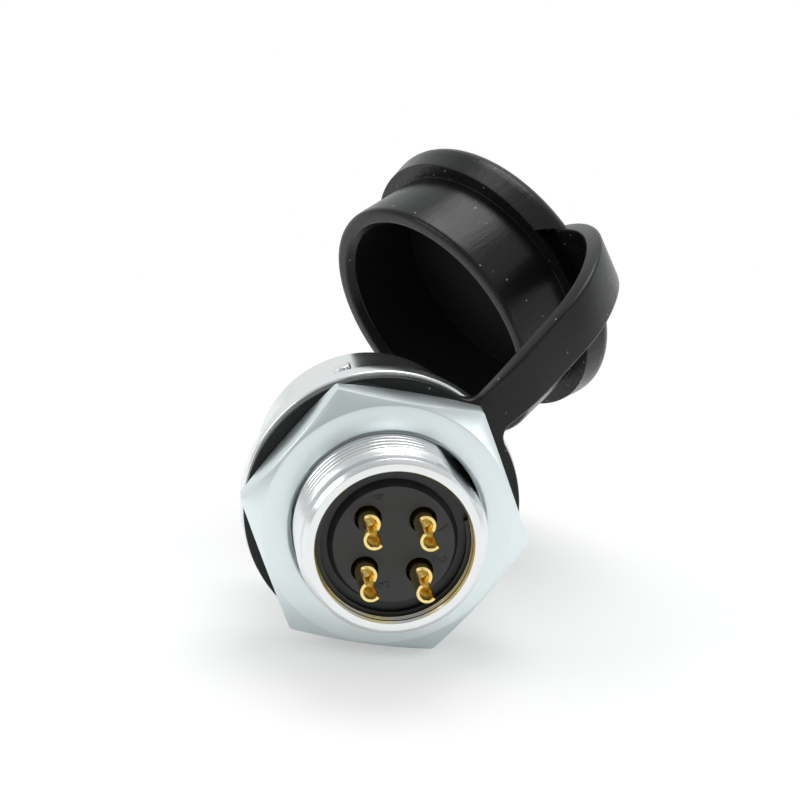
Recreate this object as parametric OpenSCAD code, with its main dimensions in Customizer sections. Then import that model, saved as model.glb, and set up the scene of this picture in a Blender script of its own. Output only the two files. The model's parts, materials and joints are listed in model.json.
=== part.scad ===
// Rear-nut panel receptacle: circular four-way connector with solder cups, jam nut and tethered dust cap.
// Frame: the connector's axis is Y, +Y points out of the panel towards the mating plug, +Z is up, and the
// origin is on the axis at the rear face of the flange. Clock angles are seen from the rear, from +X to +Z.

/* [Shell] */
// Outside diameter of the threaded rear barrel
thread_d = 20; // [18:0.1:22]
// How far the rear barrel reaches behind the flange
rear_len = 13.2; // [11.5:0.1:20]
// Length of the plain end of the rear barrel, behind the thread
pilot_len = 2.2; // [1:0.1:3]
// Diameter of the plain end of the rear barrel
pilot_d = 19.1; // [18.8:0.1:19.6]
// Bore of the rear barrel
rear_bore_d = 16.2; // [15.6:0.1:17]
// Distance from the axis to the flat milled along the thread
flat_r = 9.15; // [9:0.05:9.8]
// Clock angle of the milled flat
flat_clock = 42; // [0:1:90]
// Diameter of the flange
flange_d = 30; // [28.6:0.1:34]
// Thickness of the flange
flange_t = 2.4; // [1.5:0.1:4]
// Outside diameter of the front coupling barrel
coupling_d = 26; // [25:0.1:27]
// Length of the front coupling barrel, ahead of the flange
coupling_len = 14.1; // [12.5:0.1:20]
// Wall of the front coupling barrel around the socket
coupling_wall = 2.1; // [1.8:0.1:2.4]
// Thickness of the web that the inserts stop against
web_t = 2; // [1:0.1:3]
// Height of the opening lip of the web around the front insert
web_lip = 1.1; // [0.6:0.1:1.6]
// Small edge break on the turned corners
edge = 0.4; // [0.2:0.05:0.6]
// Distance from the barrel's rear end to the rim of the rear insulator
ins_inset = 2.25; // [1.8:0.05:3]
// Width of the main keyway in the socket
key_w = 2.6; // [1.5:0.1:4]
// Width of the two narrow keyways
key_narrow_w = 1.8; // [1:0.1:2.4]
// Depth of the keyways in the socket wall
key_depth = 0.8; // [0.4:0.1:1.2]
// Clock angles of the three keyways, the main one first
key_clocks = [90, 205, 325];

/* [Coupling pins] */
// Diameter of a bayonet pin
pin_d = 2; // [1.4:0.1:2.6]
// Height of a bayonet pin above the coupling barrel
pin_rise = 0.9; // [0.5:0.1:1.2]
// Wall left between the socket and a bayonet pin's seat
pin_seat_wall = 0.6; // [0.4:0.1:1]
// Distance from the front end of the barrel to the pins
pin_back = 5.3; // [3:0.1:8]
// Clock angle of the first of the three pins
pin_clock = 108; // [0:1:119]

/* [Jam nut] */
// Width across the flats of the nut
nut_af = 27; // [26:0.5:30]
// Thickness of the nut
nut_t = 4.8; // [3.5:0.1:6]
// Clock angle of one corner of the nut
nut_clock = 112.5; // [90:0.5:150]
// Diameter of the flat left on the nut's faces by the 30 degree chamfer
nut_face_d = 26.4; // [25:0.1:26.8]
// Countersink at the mouths of the nut's thread
nut_csk = 0.5; // [0.2:0.1:0.8]
// Radial running clearance of the nut on the thread
nut_fit = 0.05; // [0.03:0.01:0.1]
// Play between the nut's front face and the rubber ring
nut_play = 0.04; // [0.02:0.01:0.1]

/* [Inserts] */
// Thickness of the rear insulator's outer ring, from the joint of the two inserts
rear_ins_len = 8.95; // [7:0.05:10]
// Length of the front insulator behind the web
front_ins_len = 5; // [3:0.1:6]
// Height of the raised centre of the rear insulator
boss_rise = 1.15; // [0.5:0.05:1.5]
// Diameter of the raised centre at its top
boss_d = 12.6; // [11:0.1:13]
// Sloping width of the raised centre's side
boss_slope = 0.5; // [0.2:0.1:0.8]
// How far the front insulator stands into the socket
nose_len = 3; // [1.5:0.1:4]
// Clearance of an insulator in its bore, on the radius
ins_fit = 0.06; // [0.03:0.01:0.1]

/* [Contacts] */
// Distance between contacts across the connector
grid_x = 5.7; // [5:0.05:6.4]
// Distance between contacts up the connector
grid_z = 5.55; // [5:0.05:6.4]
// Diameter of the front pin
contact_pin_d = 2.5; // [1.6:0.1:2.8]
// How far the pin's tip stays behind the front end of the shell
pin_recess = 5; // [4.4:0.1:8]
// Diameter of the shoulder that is trapped between the inserts
shoulder_d = 3.8; // [3.4:0.1:4.4]
// Length of the shoulder
shoulder_len = 2; // [1:0.1:3]
// Diameter of the contact where it leaves the rear insulator
collar_d = 2.66; // [2.4:0.02:2.8]
// Height of that collar above the raised centre
collar_rise = 0.35; // [0.1:0.05:0.8]
// Outside diameter of the solder cup
cup_d = 2.2; // [1.8:0.1:2.4]
// Wall of the solder cup
cup_wall = 0.32; // [0.25:0.01:0.45]
// Height of the solder cup's tip above the raised centre
cup_rise = 6.4; // [5:0.1:8]
// Height of the cup's floor above the raised centre
cup_floor = 0.3; // [0.2:0.05:1]
// Height at which the cup's scooped opening starts
scoop_rise = 1.9; // [1:0.1:3]
// Share of the cup's radius that the scoop leaves past the middle
scoop_keep = 0.12; // [0:0.02:0.4]
// Clock angle that the scoops face
scoop_clock = 46; // [0:1:360]
// Clearance of a contact in its hole, on the radius
contact_fit = 0.1; // [0.05:0.01:0.15]

/* [Retaining ring] */
// Thickness of the split ring behind the rear insulator
ring_t = 0.8; // [0.5:0.1:1.2]
// Inside diameter of the split ring
ring_id = 15.2; // [14.6:0.1:15.6]
// Depth of the ring's groove in the rear bore
groove_depth = 0.35; // [0.2:0.05:0.5]
// Clearance between the split ring and its groove
groove_fit = 0.05; // [0.02:0.01:0.1]
// Clock angle at which the split ring's gap starts
split_clock = 20; // [0:1:60]
// Width of the split ring's gap, as an angle
split_gap = 32; // [10:1:60]

/* [Socket seal] */
// Thickness of the rubber face seal at the bottom of the socket
seal_t = 1.2; // [0.8:0.1:2]
// Clearance of the face seal around the insert and in the socket, on the radius
seal_fit = 0.1; // [0.05:0.05:0.2]

/* [Rubber strap] */
// Thickness of the strap's ring, between the flange and the nut
ring_rubber_t = 1.6; // [1.2:0.1:2.4]
// Thickness of the strap
strap_t = 1.95; // [1.4:0.05:2.4]
// Outside diameter of the strap's ring
strap_ring_d = 29.6; // [27:0.1:30]
// Radial clearance of the strap's ring on the thread
strap_ring_fit = 0.15; // [0.05:0.05:0.3]
// Width of the strap at the ring
strap_root_w = 4.7; // [3.5:0.1:6]
// Width of the strap from its second flexing line to the cap
strap_w = 6; // [4:0.1:8]
// Radius of the fillets where the strap leaves its ring
neck_fillet = 1.8; // [1:0.1:3]
// Clock angle at which the strap leaves the ring
strap_clock = 45.3; // [30:0.1:60]
// Distance from the ring's edge to the strap's first flexing line
root_reach = 1.45; // [1.3:0.05:3]
// Radius of the strap's first, slow bend
bend_1_r = 17.7; // [14:0.1:40]
// Angle of the first bend
bend_1 = 19; // [10:0.5:30]
// Straight run after the first bend
run_len = 5; // [2:0.1:8]
// Radius of the bend up to the second flexing line
bend_2_r = 10; // [8:0.1:20]
// Angle of the bend up to the second flexing line
bend_2 = 31; // [20:0.5:45]
// Radius of the last bend, on the cap's own tab
bend_3_r = 16; // [13:0.1:24]
// Angle of the last bend
bend_3 = 73.5; // [60:0.5:85]
// Sideways twist of the strap after its first bend
first_twist = 17.5; // [0:0.5:25]
// Sideways twist of the strap at its second flexing line
middle_twist = 22.5; // [0:0.5:25]
// Sideways twist of the strap at the cap
cap_twist = 12.5; // [0:0.5:20]
// Gap around each flexing line
flex_gap = 0.15; // [0.1:0.01:0.3]

/* [Dust cap] */
// Distance from the end of the last bend to the cap's centre
tab_reach = 14.7; // [14:0.1:20]
// Inside diameter of the cap
cap_bore_d = 26.4; // [26.2:0.1:27]
// Wall of the cap's skirt at the lip
lip_wall = 2.4; // [1.8:0.1:3]
// Wall of the cap's skirt beside the grip rim
skirt_wall = 1.75; // [1.4:0.05:2.4]
// Height of the cap over all
cap_h = 12.7; // [10:0.1:16]
// Thickness of the cap's closed end
cap_end_t = 2.2; // [2:0.1:3]
// Height of the grip rim at the closed end
rim_h = 4.1; // [3:0.1:6]
// Diameter of the grip rim at its open side
rim_d = 33.4; // [32:0.1:35]
// Diameter of the grip rim at the closed end
rim_end_d = 34.3; // [33:0.1:36]
// Rounding of the closed end's edge
rim_round = 1.6; // [0.6:0.1:1.8]
// Rounding of the cap's lip
lip_round = 0.8; // [0.4:0.1:0.9]
// Bevel inside the cap's lip
lip_bevel = 0.6; // [0.3:0.1:1.6]
// Width of the notch in the rim behind the strap, at the rim's open side
notch_w = 8.4; // [7:0.1:10]
// Width of the notch at the strap
notch_floor_w = 6.2; // [4:0.1:7]

/* [Hidden] */
$fn = 96;

shell_colour = [0.80, 0.82, 0.83];
nut_colour = [0.83, 0.86, 0.88];
insulator_colour = [0.13, 0.13, 0.13];
gold = [0.86, 0.63, 0.22];
rubber_colour = [0.07, 0.07, 0.075];

small = 0.01;
// How far a cutter runs past what it cuts
past = 1;
front_end = flange_t + coupling_len;
thread_r = thread_d/2;
pilot_r = pilot_d/2;
rear_bore_r = rear_bore_d/2;
coupling_r = coupling_d/2;
socket_r = coupling_r - coupling_wall;

// Stations along the axis, from the rear
ins_rear = -rear_len + ins_inset;
ins_joint = ins_rear + rear_ins_len;
web_rear = ins_joint + front_ins_len;
web_front = web_rear + web_t;
web_bore_r = rear_bore_r - web_lip;
boss_top = ins_rear - boss_rise;
nose_r = web_bore_r - ins_fit;

hole_r = collar_d/2 + contact_fit;
contact_places = [
    [-grid_x/2, grid_z/2], [grid_x/2, grid_z/2],
    [-grid_x/2, -grid_z/2], [grid_x/2, -grid_z/2]
];

// Turns a body drawn about Z so that its axis is the connector's, its top towards the plug
module on_axis() rotate([-90, 0, 0]) children();

// Turns what is drawn along +X to a clock angle seen from the rear
module at_clock(clock) rotate([0, -clock, 0]) children();

module turned(profile) on_axis() rotate_extrude() polygon(profile);

module cylinder_y(r, y0, y1) translate([0, y0, 0]) on_axis() cylinder(r = r, h = y1 - y0);

// ---- shell -------------------------------------------------------------------------------------

module shell_profile() polygon([
    [rear_bore_r, -rear_len],
    [pilot_r - edge, -rear_len],
    [pilot_r, -rear_len + edge],
    [pilot_r, -rear_len + pilot_len],
    [thread_r, -rear_len + pilot_len + thread_r - pilot_r],
    [thread_r, 0],
    [flange_d/2 - edge, 0],
    [flange_d/2, edge],
    [flange_d/2, flange_t - edge],
    [flange_d/2 - edge, flange_t],
    [coupling_r, flange_t],
    [coupling_r, front_end - edge],
    [coupling_r - edge, front_end],
    [socket_r + edge, front_end],
    [socket_r, front_end - edge],
    [socket_r, web_front],
    [web_bore_r, web_front],
    [web_bore_r, web_rear],
    [rear_bore_r, web_rear],
    [rear_bore_r, ins_rear],
    [rear_bore_r + groove_depth, ins_rear],
    [rear_bore_r + groove_depth, ins_rear - ring_t - 2*groove_fit],
    [rear_bore_r, ins_rear - ring_t - 2*groove_fit]
]);

module shell() color(shell_colour) difference() {
    on_axis() rotate_extrude() shell_profile();
    // anti-rotation flat along the whole thread
    at_clock(flat_clock)
        translate([flat_r, -rear_len - past, -thread_r])
            cube([thread_r, rear_len + past - strap_ring_fit, 2*thread_r]);
    // keyways that line up the plug
    for (i = [0:len(key_clocks) - 1])
        at_clock(key_clocks[i])
            translate([0, web_front + seal_t, -(i == 0 ? key_w : key_narrow_w)/2])
                cube([socket_r + key_depth, coupling_len, i == 0 ? key_w : key_narrow_w]);
    for (i = [0:pins - 1]) pin_at(i, pin_d/2 + small);
}

// ---- bayonet pins ------------------------------------------------------------------------------

pins = 3;
pin_seat_r = socket_r + pin_seat_wall;

module pin_at(i, r)
    at_clock(pin_clock + 360/pins*i)
        translate([pin_seat_r, front_end - pin_back, 0])
            rotate([0, 90, 0]) cylinder(r = r, h = coupling_r + pin_rise - pin_seat_r, $fn = 48);

module coupling_pins() color(shell_colour)
    for (i = [0:pins - 1]) intersection() {
        pin_at(i, pin_d/2);
        pin_head(i);
    }

// Rounds the head of a pin
module pin_head(i)
    at_clock(pin_clock + 360/pins*i)
        translate([coupling_r + pin_rise - 2*pin_d, front_end - pin_back, 0]) sphere(r = 2*pin_d, $fn = 64);

// ---- jam nut -----------------------------------------------------------------------------------

nut_front = -ring_rubber_t - nut_play;
nut_rear = nut_front - nut_t;
nut_corner_r = nut_af/2/cos(30);
nut_bore_r = thread_r + nut_fit;
nut_blank_r = nut_corner_r + past;
nut_chamfer_h = (nut_blank_r - nut_face_d/2)*tan(30);

module hex_nut() color(nut_colour) difference() {
    intersection() {
        translate([0, nut_rear, 0]) at_clock(nut_clock)
            on_axis() cylinder(r = nut_corner_r, h = nut_t, $fn = 6);
        turned([
            [0, nut_rear], [nut_face_d/2, nut_rear],
            [nut_blank_r, nut_rear + nut_chamfer_h], [nut_blank_r, nut_front - nut_chamfer_h],
            [nut_face_d/2, nut_front], [0, nut_front]
        ]);
    }
    turned([
        [0, nut_rear - past], [nut_bore_r + nut_csk + past, nut_rear - past],
        [nut_bore_r, nut_rear + nut_csk], [nut_bore_r, nut_front - nut_csk],
        [nut_bore_r + nut_csk + past, nut_front + past], [0, nut_front + past]
    ]);
}

// ---- inserts -----------------------------------------------------------------------------------

ins_r = rear_bore_r - ins_fit;

module rear_insulator() color(insulator_colour) difference() {
    turned([
        [0, boss_top], [boss_d/2, boss_top], [boss_d/2 + boss_slope, ins_rear],
        [ins_r, ins_rear], [ins_r, ins_joint], [0, ins_joint]
    ]);
    for (p = contact_places) translate([p[0], 0, p[1]]) {
        cylinder_y(hole_r, boss_top - past, ins_joint + past);
        cylinder_y(shoulder_d/2 + contact_fit, ins_joint - shoulder_len, ins_joint + past);
    }
}

module front_insulator() color(insulator_colour) difference() {
    turned([
        [0, ins_joint], [ins_r, ins_joint], [ins_r, web_rear], [nose_r, web_rear],
        [nose_r, web_front + nose_len - edge], [nose_r - edge, web_front + nose_len],
        [0, web_front + nose_len]
    ]);
    for (p = contact_places) translate([p[0], 0, p[1]])
        cylinder_y(contact_pin_d/2 + contact_fit, ins_joint - past, web_front + nose_len + past);
}

// ---- retaining ring ----------------------------------------------------------------------------

module retaining_ring() color(shell_colour) difference() {
    turned([
        [ring_id/2, ins_rear - ring_t - groove_fit],
        [rear_bore_r + groove_depth - groove_fit, ins_rear - ring_t - groove_fit],
        [rear_bore_r + groove_depth - groove_fit, ins_rear - groove_fit],
        [ring_id/2, ins_rear - groove_fit]
    ]);
    // the gap of the split ring
    at_clock(split_clock + split_gap/2) translate([0, ins_rear - ring_t - past, 0])
        on_axis() linear_extrude(ring_t + 2*past)
            polygon([[0, 0], for (side = [-1, 1]) 2*rear_bore_r*[cos(split_gap/2), side*sin(split_gap/2)]]);
}

// ---- contacts ----------------------------------------------------------------------------------

pin_tip = front_end - pin_recess;
cup_tip = boss_top - cup_rise;
scoop_floor = boss_top - scoop_rise;

// One turned contact: solder cup, collar, trapped shoulder and round-nosed pin
module contact(i)
    translate([contact_places[i][0], 0, contact_places[i][1]]) color(gold) difference() {
        union() {
            turned([
                [0, cup_tip], [cup_d/2, cup_tip], [cup_d/2, boss_top - collar_rise],
                [collar_d/2, boss_top - collar_rise], [collar_d/2, ins_joint - shoulder_len],
                [shoulder_d/2, ins_joint - shoulder_len], [shoulder_d/2, ins_joint],
                [contact_pin_d/2, ins_joint], [contact_pin_d/2, pin_tip - contact_pin_d/2],
                [0, pin_tip - contact_pin_d/2]
            ]);
            translate([0, pin_tip - contact_pin_d/2, 0]) sphere(r = contact_pin_d/2, $fn = 48);
        }
        cylinder_y(cup_d/2 - cup_wall, cup_tip - past, boss_top - cup_floor);
        // the scooped side that the wire is laid into
        at_clock(scoop_clock) translate([cup_d/2*scoop_keep, cup_tip - past, -cup_d])
            cube([2*cup_d, scoop_floor - cup_tip + past, 2*cup_d]);
    }

module contact_1() contact(0);
module contact_2() contact(1);
module contact_3() contact(2);
module contact_4() contact(3);

// ---- socket seal -------------------------------------------------------------------------------

module socket_seal() color(rubber_colour) turned([
    [nose_r + seal_fit, web_front], [socket_r - seal_fit, web_front],
    [socket_r - seal_fit, web_front + seal_t], [nose_r + seal_fit, web_front + seal_t]
]);

// ---- strap and cap -----------------------------------------------------------------------------
// Ring, strap and cap are one rubber moulding. It flexes along two lines, and is parted there.
// The strap is drawn with X along its length from the axis, Y forward and Z across its width.

strap_ring_r = strap_ring_d/2;
root_x = strap_ring_r + root_reach;

// The strap's middle line as [x, y, heading] after a bend of radius r from one heading to another
function bent(p, r, turn) = [
    p[0] + r*(sin(p[2] + turn) - sin(p[2])), p[1] + r*(cos(p[2]) - cos(p[2] + turn)), p[2] + turn
];
function ahead(p, d) = [p[0] + d*cos(p[2]), p[1] + d*sin(p[2]), p[2]];

root = [root_x, -ring_rubber_t/2, 0];
after_bend_1 = bent(root, bend_1_r, bend_1);
before_bend_2 = ahead(after_bend_1, run_len);
flex_2 = bent(before_bend_2, bend_2_r, bend_2);
tab_end = bent(flex_2, bend_3_r, bend_3);
cap_centre = ahead(tab_end, tab_reach);

steps = 8;
strap_line = concat(
    [for (i = [0:steps]) bent(root, bend_1_r, bend_1*i/steps)],
    [for (i = [0:steps]) bent(before_bend_2, bend_2_r, bend_2*i/steps)]
);
tab_line = concat(
    [for (i = [0:steps]) bent(flex_2, bend_3_r, bend_3*i/steps)],
    [ahead(tab_end, tab_reach - cap_bore_d/2)]
);

// Width, thickness and twist of the strap follow its heading, from the ring to the cap
bends = [0, bend_1, flex_2[2], tab_end[2]];
function along(heading, values) = lookup(heading, [for (i = [0:3]) [bends[i], values[i]]]);
function width_at(p) = along(p[2], [strap_root_w, (strap_root_w + 2*strap_w)/3, strap_w, strap_w]);
function thickness_at(p) = along(p[2], [ring_rubber_t, strap_t, strap_t, strap_t]);
function twist_at(p) = along(p[2], [0, first_twist, middle_twist, cap_twist]);

// The eight corners of the strap's section at a station, with its long edges broken
edge_break = 0.25;
function section(p) = let (
        w = width_at(p)/2, h = thickness_at(p)/2, b = 2*h*edge_break, tw = twist_at(p)
    ) [
        for (q = [[h - b, w], [h, w - b], [h, b - w], [h - b, -w], [b - h, -w], [-h, b - w], [-h, w - b], [b - h, w]])
            let (out = q[0]*cos(tw) - q[1]*sin(tw), across = q[0]*sin(tw) + q[1]*cos(tw))
                [p[0] - out*sin(p[2]), p[1] + out*cos(p[2]), across]
    ];

// Skins the sections along a line of stations
module swept(line) {
    n = len(line);
    polyhedron(
        points = [for (p = line) each section(p)],
        faces = concat(
            [for (j = [1:6]) [0, j + 1, j]],
            [for (i = [0:n - 2], j = [0:7]) each [
                [8*i + j, 8*i + (j + 1)%8, 8*i + 8 + j],
                [8*i + (j + 1)%8, 8*i + 8 + (j + 1)%8, 8*i + 8 + j]
            ]],
            [for (j = [1:6]) [8*(n - 1), 8*(n - 1) + j, 8*(n - 1) + j + 1]]
        )
    );
}

// The strap parts at a flexing line around a round bar, which stays just inside the strap's faces
knuckle_inset = 0.04;
function knuckle_r(p) = thickness_at(p)/2 - knuckle_inset;

// A round bar across the strap at a station, along the twisted section there
module bar_at(p, r, w)
    translate([p[0], p[1], 0]) rotate([0, 0, p[2]]) rotate([twist_at(p), 0, 0])
        cylinder(r = r, h = w, center = true, $fn = 40);

module knuckle(p) bar_at(p, knuckle_r(p), width_at(p) - 2*thickness_at(p)*edge_break);
module knuckle_seat(p) bar_at(p, knuckle_r(p) + flex_gap, 3*strap_w);

// The flat neck between the ring and the first flexing line, with a fillet on each side
neck_fillet_x = sqrt(pow(strap_ring_r + neck_fillet, 2) - pow(strap_root_w/2 + neck_fillet, 2));
module neck() difference() {
    neck_w = (strap_root_w + 2*neck_fillet)*strap_ring_r/(strap_ring_r + neck_fillet);
    translate([strap_ring_r/2, -neck_w/2]) square([root_x - strap_ring_r/2, neck_w]);
    for (side = [-1, 1]) {
        translate([neck_fillet_x, side*(strap_root_w/2 + neck_fillet)]) circle(r = neck_fillet);
        translate([neck_fillet_x, side*(strap_root_w + neck_w)/2 - neck_w/2]) square([strap_w, neck_w]);
    }
    circle(r = (thread_r + strap_ring_r)/2);
}

module strap_ring() color(rubber_colour) at_clock(strap_clock) difference() {
    union() {
        turned([
            [thread_r + strap_ring_fit, -ring_rubber_t], [strap_ring_r, -ring_rubber_t],
            [strap_ring_r, 0], [thread_r + strap_ring_fit, 0]
        ]);
        translate([0, -ring_rubber_t, 0]) on_axis() linear_extrude(ring_rubber_t) neck();
    }
    knuckle_seat(root);
}

module strap() color(rubber_colour) at_clock(strap_clock) difference() {
    union() {
        swept(strap_line);
        knuckle(root);
    }
    knuckle_seat(flex_2);
}

cap_bore_r = cap_bore_d/2;
lip_r = cap_bore_r + lip_wall;
skirt_r = cap_bore_r + skirt_wall;
rim_r = rim_d/2;
rim_end_r = rim_end_d/2;

// The cap's wall, drawn from its closed end up to its lip
module cap_profile() difference() {
    union() {
        polygon([
            [0, 0], [rim_end_r - rim_round, 0], [rim_end_r, rim_round],
            [rim_r, rim_h - edge], [rim_r - edge, rim_h], [skirt_r, rim_h],
            [lip_r, cap_h - lip_round], [lip_r - lip_round, cap_h], [0, cap_h]
        ]);
        translate([rim_end_r - rim_round, rim_round]) circle(r = rim_round, $fn = 32);
        translate([lip_r - lip_round, cap_h - lip_round]) circle(r = lip_round, $fn = 32);
    }
    translate([0, cap_end_t]) square([cap_bore_r, cap_h]);
    translate([0, cap_h - lip_bevel]) polygon([
        [0, 0], [cap_bore_r, 0], [cap_bore_r + lip_bevel, lip_bevel], [0, lip_bevel]
    ]);
}

// The notch in the grip rim, which lets the strap bend close to the cap
module rim_notch() difference() {
    translate([-rim_r - rim_end_r, 0, 0]) rotate([90, 0, 90]) linear_extrude(rim_r + rim_end_r)
        polygon([
            [-notch_floor_w/2, strap_t], [notch_floor_w/2, strap_t],
            [notch_w/2, rim_h - edge], [notch_w/2 + edge, rim_h + small],
            [-notch_w/2 - edge, rim_h + small], [-notch_w/2, rim_h - edge]
        ]);
    cylinder(r = skirt_r, h = cap_h);
}

module dust_cap() color(rubber_colour) at_clock(strap_clock) {
    knuckle(flex_2);
    swept(tab_line);
    translate([cap_centre[0], cap_centre[1], 0]) rotate([0, 0, cap_centre[2]])
        rotate([cap_twist - 90, 0, 0]) translate([0, 0, -strap_t/2]) difference() {
            rotate_extrude() cap_profile();
            rim_notch();
        }
}

shell();
coupling_pins();
hex_nut();
rear_insulator();
front_insulator();
retaining_ring();
contact_1();
contact_2();
contact_3();
contact_4();
socket_seal();
strap_ring();
strap();
dust_cap();
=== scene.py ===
import json
import math

import bmesh
import bpy
from mathutils import Matrix, Vector


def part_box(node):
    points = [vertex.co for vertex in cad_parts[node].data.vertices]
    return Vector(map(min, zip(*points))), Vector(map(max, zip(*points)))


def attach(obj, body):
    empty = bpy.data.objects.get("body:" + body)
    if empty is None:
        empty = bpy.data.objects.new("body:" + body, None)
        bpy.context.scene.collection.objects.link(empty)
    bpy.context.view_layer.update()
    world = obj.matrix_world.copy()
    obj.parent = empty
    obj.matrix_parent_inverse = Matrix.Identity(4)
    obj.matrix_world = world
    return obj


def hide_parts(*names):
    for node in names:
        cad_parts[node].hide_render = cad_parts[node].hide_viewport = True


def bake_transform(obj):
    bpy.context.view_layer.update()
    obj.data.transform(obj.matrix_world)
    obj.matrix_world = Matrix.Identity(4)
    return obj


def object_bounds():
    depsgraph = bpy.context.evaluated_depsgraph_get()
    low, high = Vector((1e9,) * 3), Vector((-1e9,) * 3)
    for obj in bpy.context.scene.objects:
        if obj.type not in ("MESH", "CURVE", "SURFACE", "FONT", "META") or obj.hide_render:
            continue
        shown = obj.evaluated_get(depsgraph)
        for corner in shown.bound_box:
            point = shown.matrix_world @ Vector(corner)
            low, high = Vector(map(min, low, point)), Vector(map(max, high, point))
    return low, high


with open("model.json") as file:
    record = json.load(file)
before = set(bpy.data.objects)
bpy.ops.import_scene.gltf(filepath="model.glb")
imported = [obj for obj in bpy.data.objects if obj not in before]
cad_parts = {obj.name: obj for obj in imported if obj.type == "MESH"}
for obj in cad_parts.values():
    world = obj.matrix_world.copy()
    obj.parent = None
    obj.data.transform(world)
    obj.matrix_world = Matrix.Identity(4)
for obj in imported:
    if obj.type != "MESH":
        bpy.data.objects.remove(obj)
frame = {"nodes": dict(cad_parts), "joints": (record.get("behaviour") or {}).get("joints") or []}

cad_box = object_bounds()
MM = 0.001
joints = {joint["name"]: joint for joint in frame["joints"]}


# ---- Camera -------------------------------------------------------------------------------------
# A long lens a little above the connector's rear end and to its left, turned slightly on its
# own axis, so that the solder cups face the viewer and the open cap lies behind them.

aim = Vector((2.6, 9.7, 8.9)) * MM
camera_distance = 275 * MM
camera_azimuth = math.radians(-7.85)
camera_elevation = math.radians(16.76)
camera_roll = math.radians(4.0)

camera_data = bpy.data.cameras.new("camera")
camera_data.sensor_width = 36
camera_data.lens = 112.5
camera_data.clip_start = 0.01
camera = bpy.data.objects.new("camera", camera_data)
towards_camera = Vector((
    math.sin(camera_azimuth) * math.cos(camera_elevation),
    -math.cos(camera_azimuth) * math.cos(camera_elevation),
    math.sin(camera_elevation)))
camera.location = aim + towards_camera * camera_distance
level_view = towards_camera.to_track_quat("Z", "Y").to_matrix()
camera.rotation_euler = (level_view @ Matrix.Rotation(camera_roll, 3, "Z")).to_euler()
bpy.context.collection.objects.link(camera)
bpy.context.scene.camera = camera


# ---- Floor and light ----------------------------------------------------------------------------
# A white table under the flange, a white sky that is a little darker low down and behind the
# viewer, and three soft lamps: one over the cap, one wide at the left and a low one at the right.

def material(name):
    made = bpy.data.materials.new(name)
    made.use_nodes = True
    tree = made.node_tree
    tree.nodes.clear()
    output = tree.nodes.new("ShaderNodeOutputMaterial")
    return made, tree, output


def node(tree, kind, settings=None, inputs=None):
    """Adds one shader node, with its settings and the values or links of its sockets."""
    made = tree.nodes.new("ShaderNode" + kind)
    for name, value in (settings or {}).items():
        setattr(made, name, value)
    for name, value in (inputs or {}).items():
        socket = made.inputs[name]
        if isinstance(value, bpy.types.NodeSocket):
            tree.links.new(value, socket)
        else:
            socket.default_value = value
    return made


bpy.context.scene.view_settings.view_transform = "Standard"

floor_size = 1.6
bpy.ops.mesh.primitive_plane_add(size=floor_size, location=(0, 0, cad_box[0].z - 0.02 * MM))
floor = bpy.context.object
floor.name = "floor"
floor_paint, tree, output = material("floor_paint")
seen_directly = node(tree, "LightPath")
lit = node(tree, "BsdfDiffuse", inputs={"Color": (0.94, 0.94, 0.94, 1)})
plain_white = node(tree, "Emission", inputs={"Color": (1, 1, 1, 1), "Strength": 1.0})
far_off = node(tree, "NewGeometry")
distance = node(tree, "VectorMath", {"operation": "LENGTH"}, {0: far_off.outputs["Position"]})
fade = node(tree, "MapRange", inputs={
    "Value": distance.outputs["Value"], "From Min": 0.045, "From Max": 0.13})
whitened = node(tree, "MapRange", inputs={
    "Value": fade.outputs[0], "To Min": 0.42, "To Max": 1.0})
for_camera = node(tree, "Math", {"operation": "MULTIPLY"}, {
    0: whitened.outputs[0], 1: seen_directly.outputs["Is Camera Ray"]})
blend_out = node(tree, "MixShader", inputs={
    0: for_camera.outputs[0], 1: lit.outputs[0], 2: plain_white.outputs[0]})
tree.links.new(blend_out.outputs[0], output.inputs["Surface"])
floor.data.materials.append(floor_paint)

world = bpy.data.worlds.new("studio")
bpy.context.scene.world = world
world.use_nodes = True
tree = world.node_tree
tree.nodes.clear()
sky_output = tree.nodes.new("ShaderNodeOutputWorld")
direction = node(tree, "TexCoord")
towards_back = node(tree, "VectorMath", {"operation": "DOT_PRODUCT"}, {
    0: direction.outputs["Generated"], 1: (0.34, 0.94, 0)})
from_front = node(tree, "MapRange", inputs={
    "Value": towards_back.outputs["Value"], "From Min": -1.0, "From Max": 0.6,
    "To Min": 0.42, "To Max": 0.90})
sky = node(tree, "Background", inputs={
    "Color": (0.965, 0.99, 0.985, 1), "Strength": from_front.outputs[0]})
backdrop = node(tree, "Background", inputs={"Color": (1, 1, 1, 1), "Strength": 1.0})
rays = node(tree, "LightPath")
pick = node(tree, "MixShader", inputs={
    0: rays.outputs["Is Camera Ray"], 1: sky.outputs[0], 2: backdrop.outputs[0]})
tree.links.new(pick.outputs[0], sky_output.inputs["Surface"])


def soft_lamp(name, place, aimed_at, size, power):
    lamp_data = bpy.data.lights.new(name, "AREA")
    lamp_data.shape = "DISK"
    lamp_data.size = size
    lamp_data.energy = power
    lamp = bpy.data.objects.new(name, lamp_data)
    lamp.location = place
    lamp.rotation_euler = (Vector(place) - Vector(aimed_at)).to_track_quat("Z", "Y").to_euler()
    bpy.context.collection.objects.link(lamp)


soft_lamp("lamp_over", (0.05, 0.10, 0.42), (0.0, 0.01, 0.0), 0.30, 0.85)
soft_lamp("lamp_left", (-0.40, -0.12, 0.22), (0.0, 0.0, 0.0), 0.25, 0.40)
soft_lamp("lamp_right", (0.30, -0.30, 0.12), (0.0, 0.0, 0.0), 0.20, 0.12)


# ---- Shell --------------------------------------------------------------------------------------
# One turned and satin-plated body: rear barrel with an M20 x 1 thread and a milled flat, flange,
# and smooth front barrel with the plug socket and its keyways. Its bore is left bright.

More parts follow.
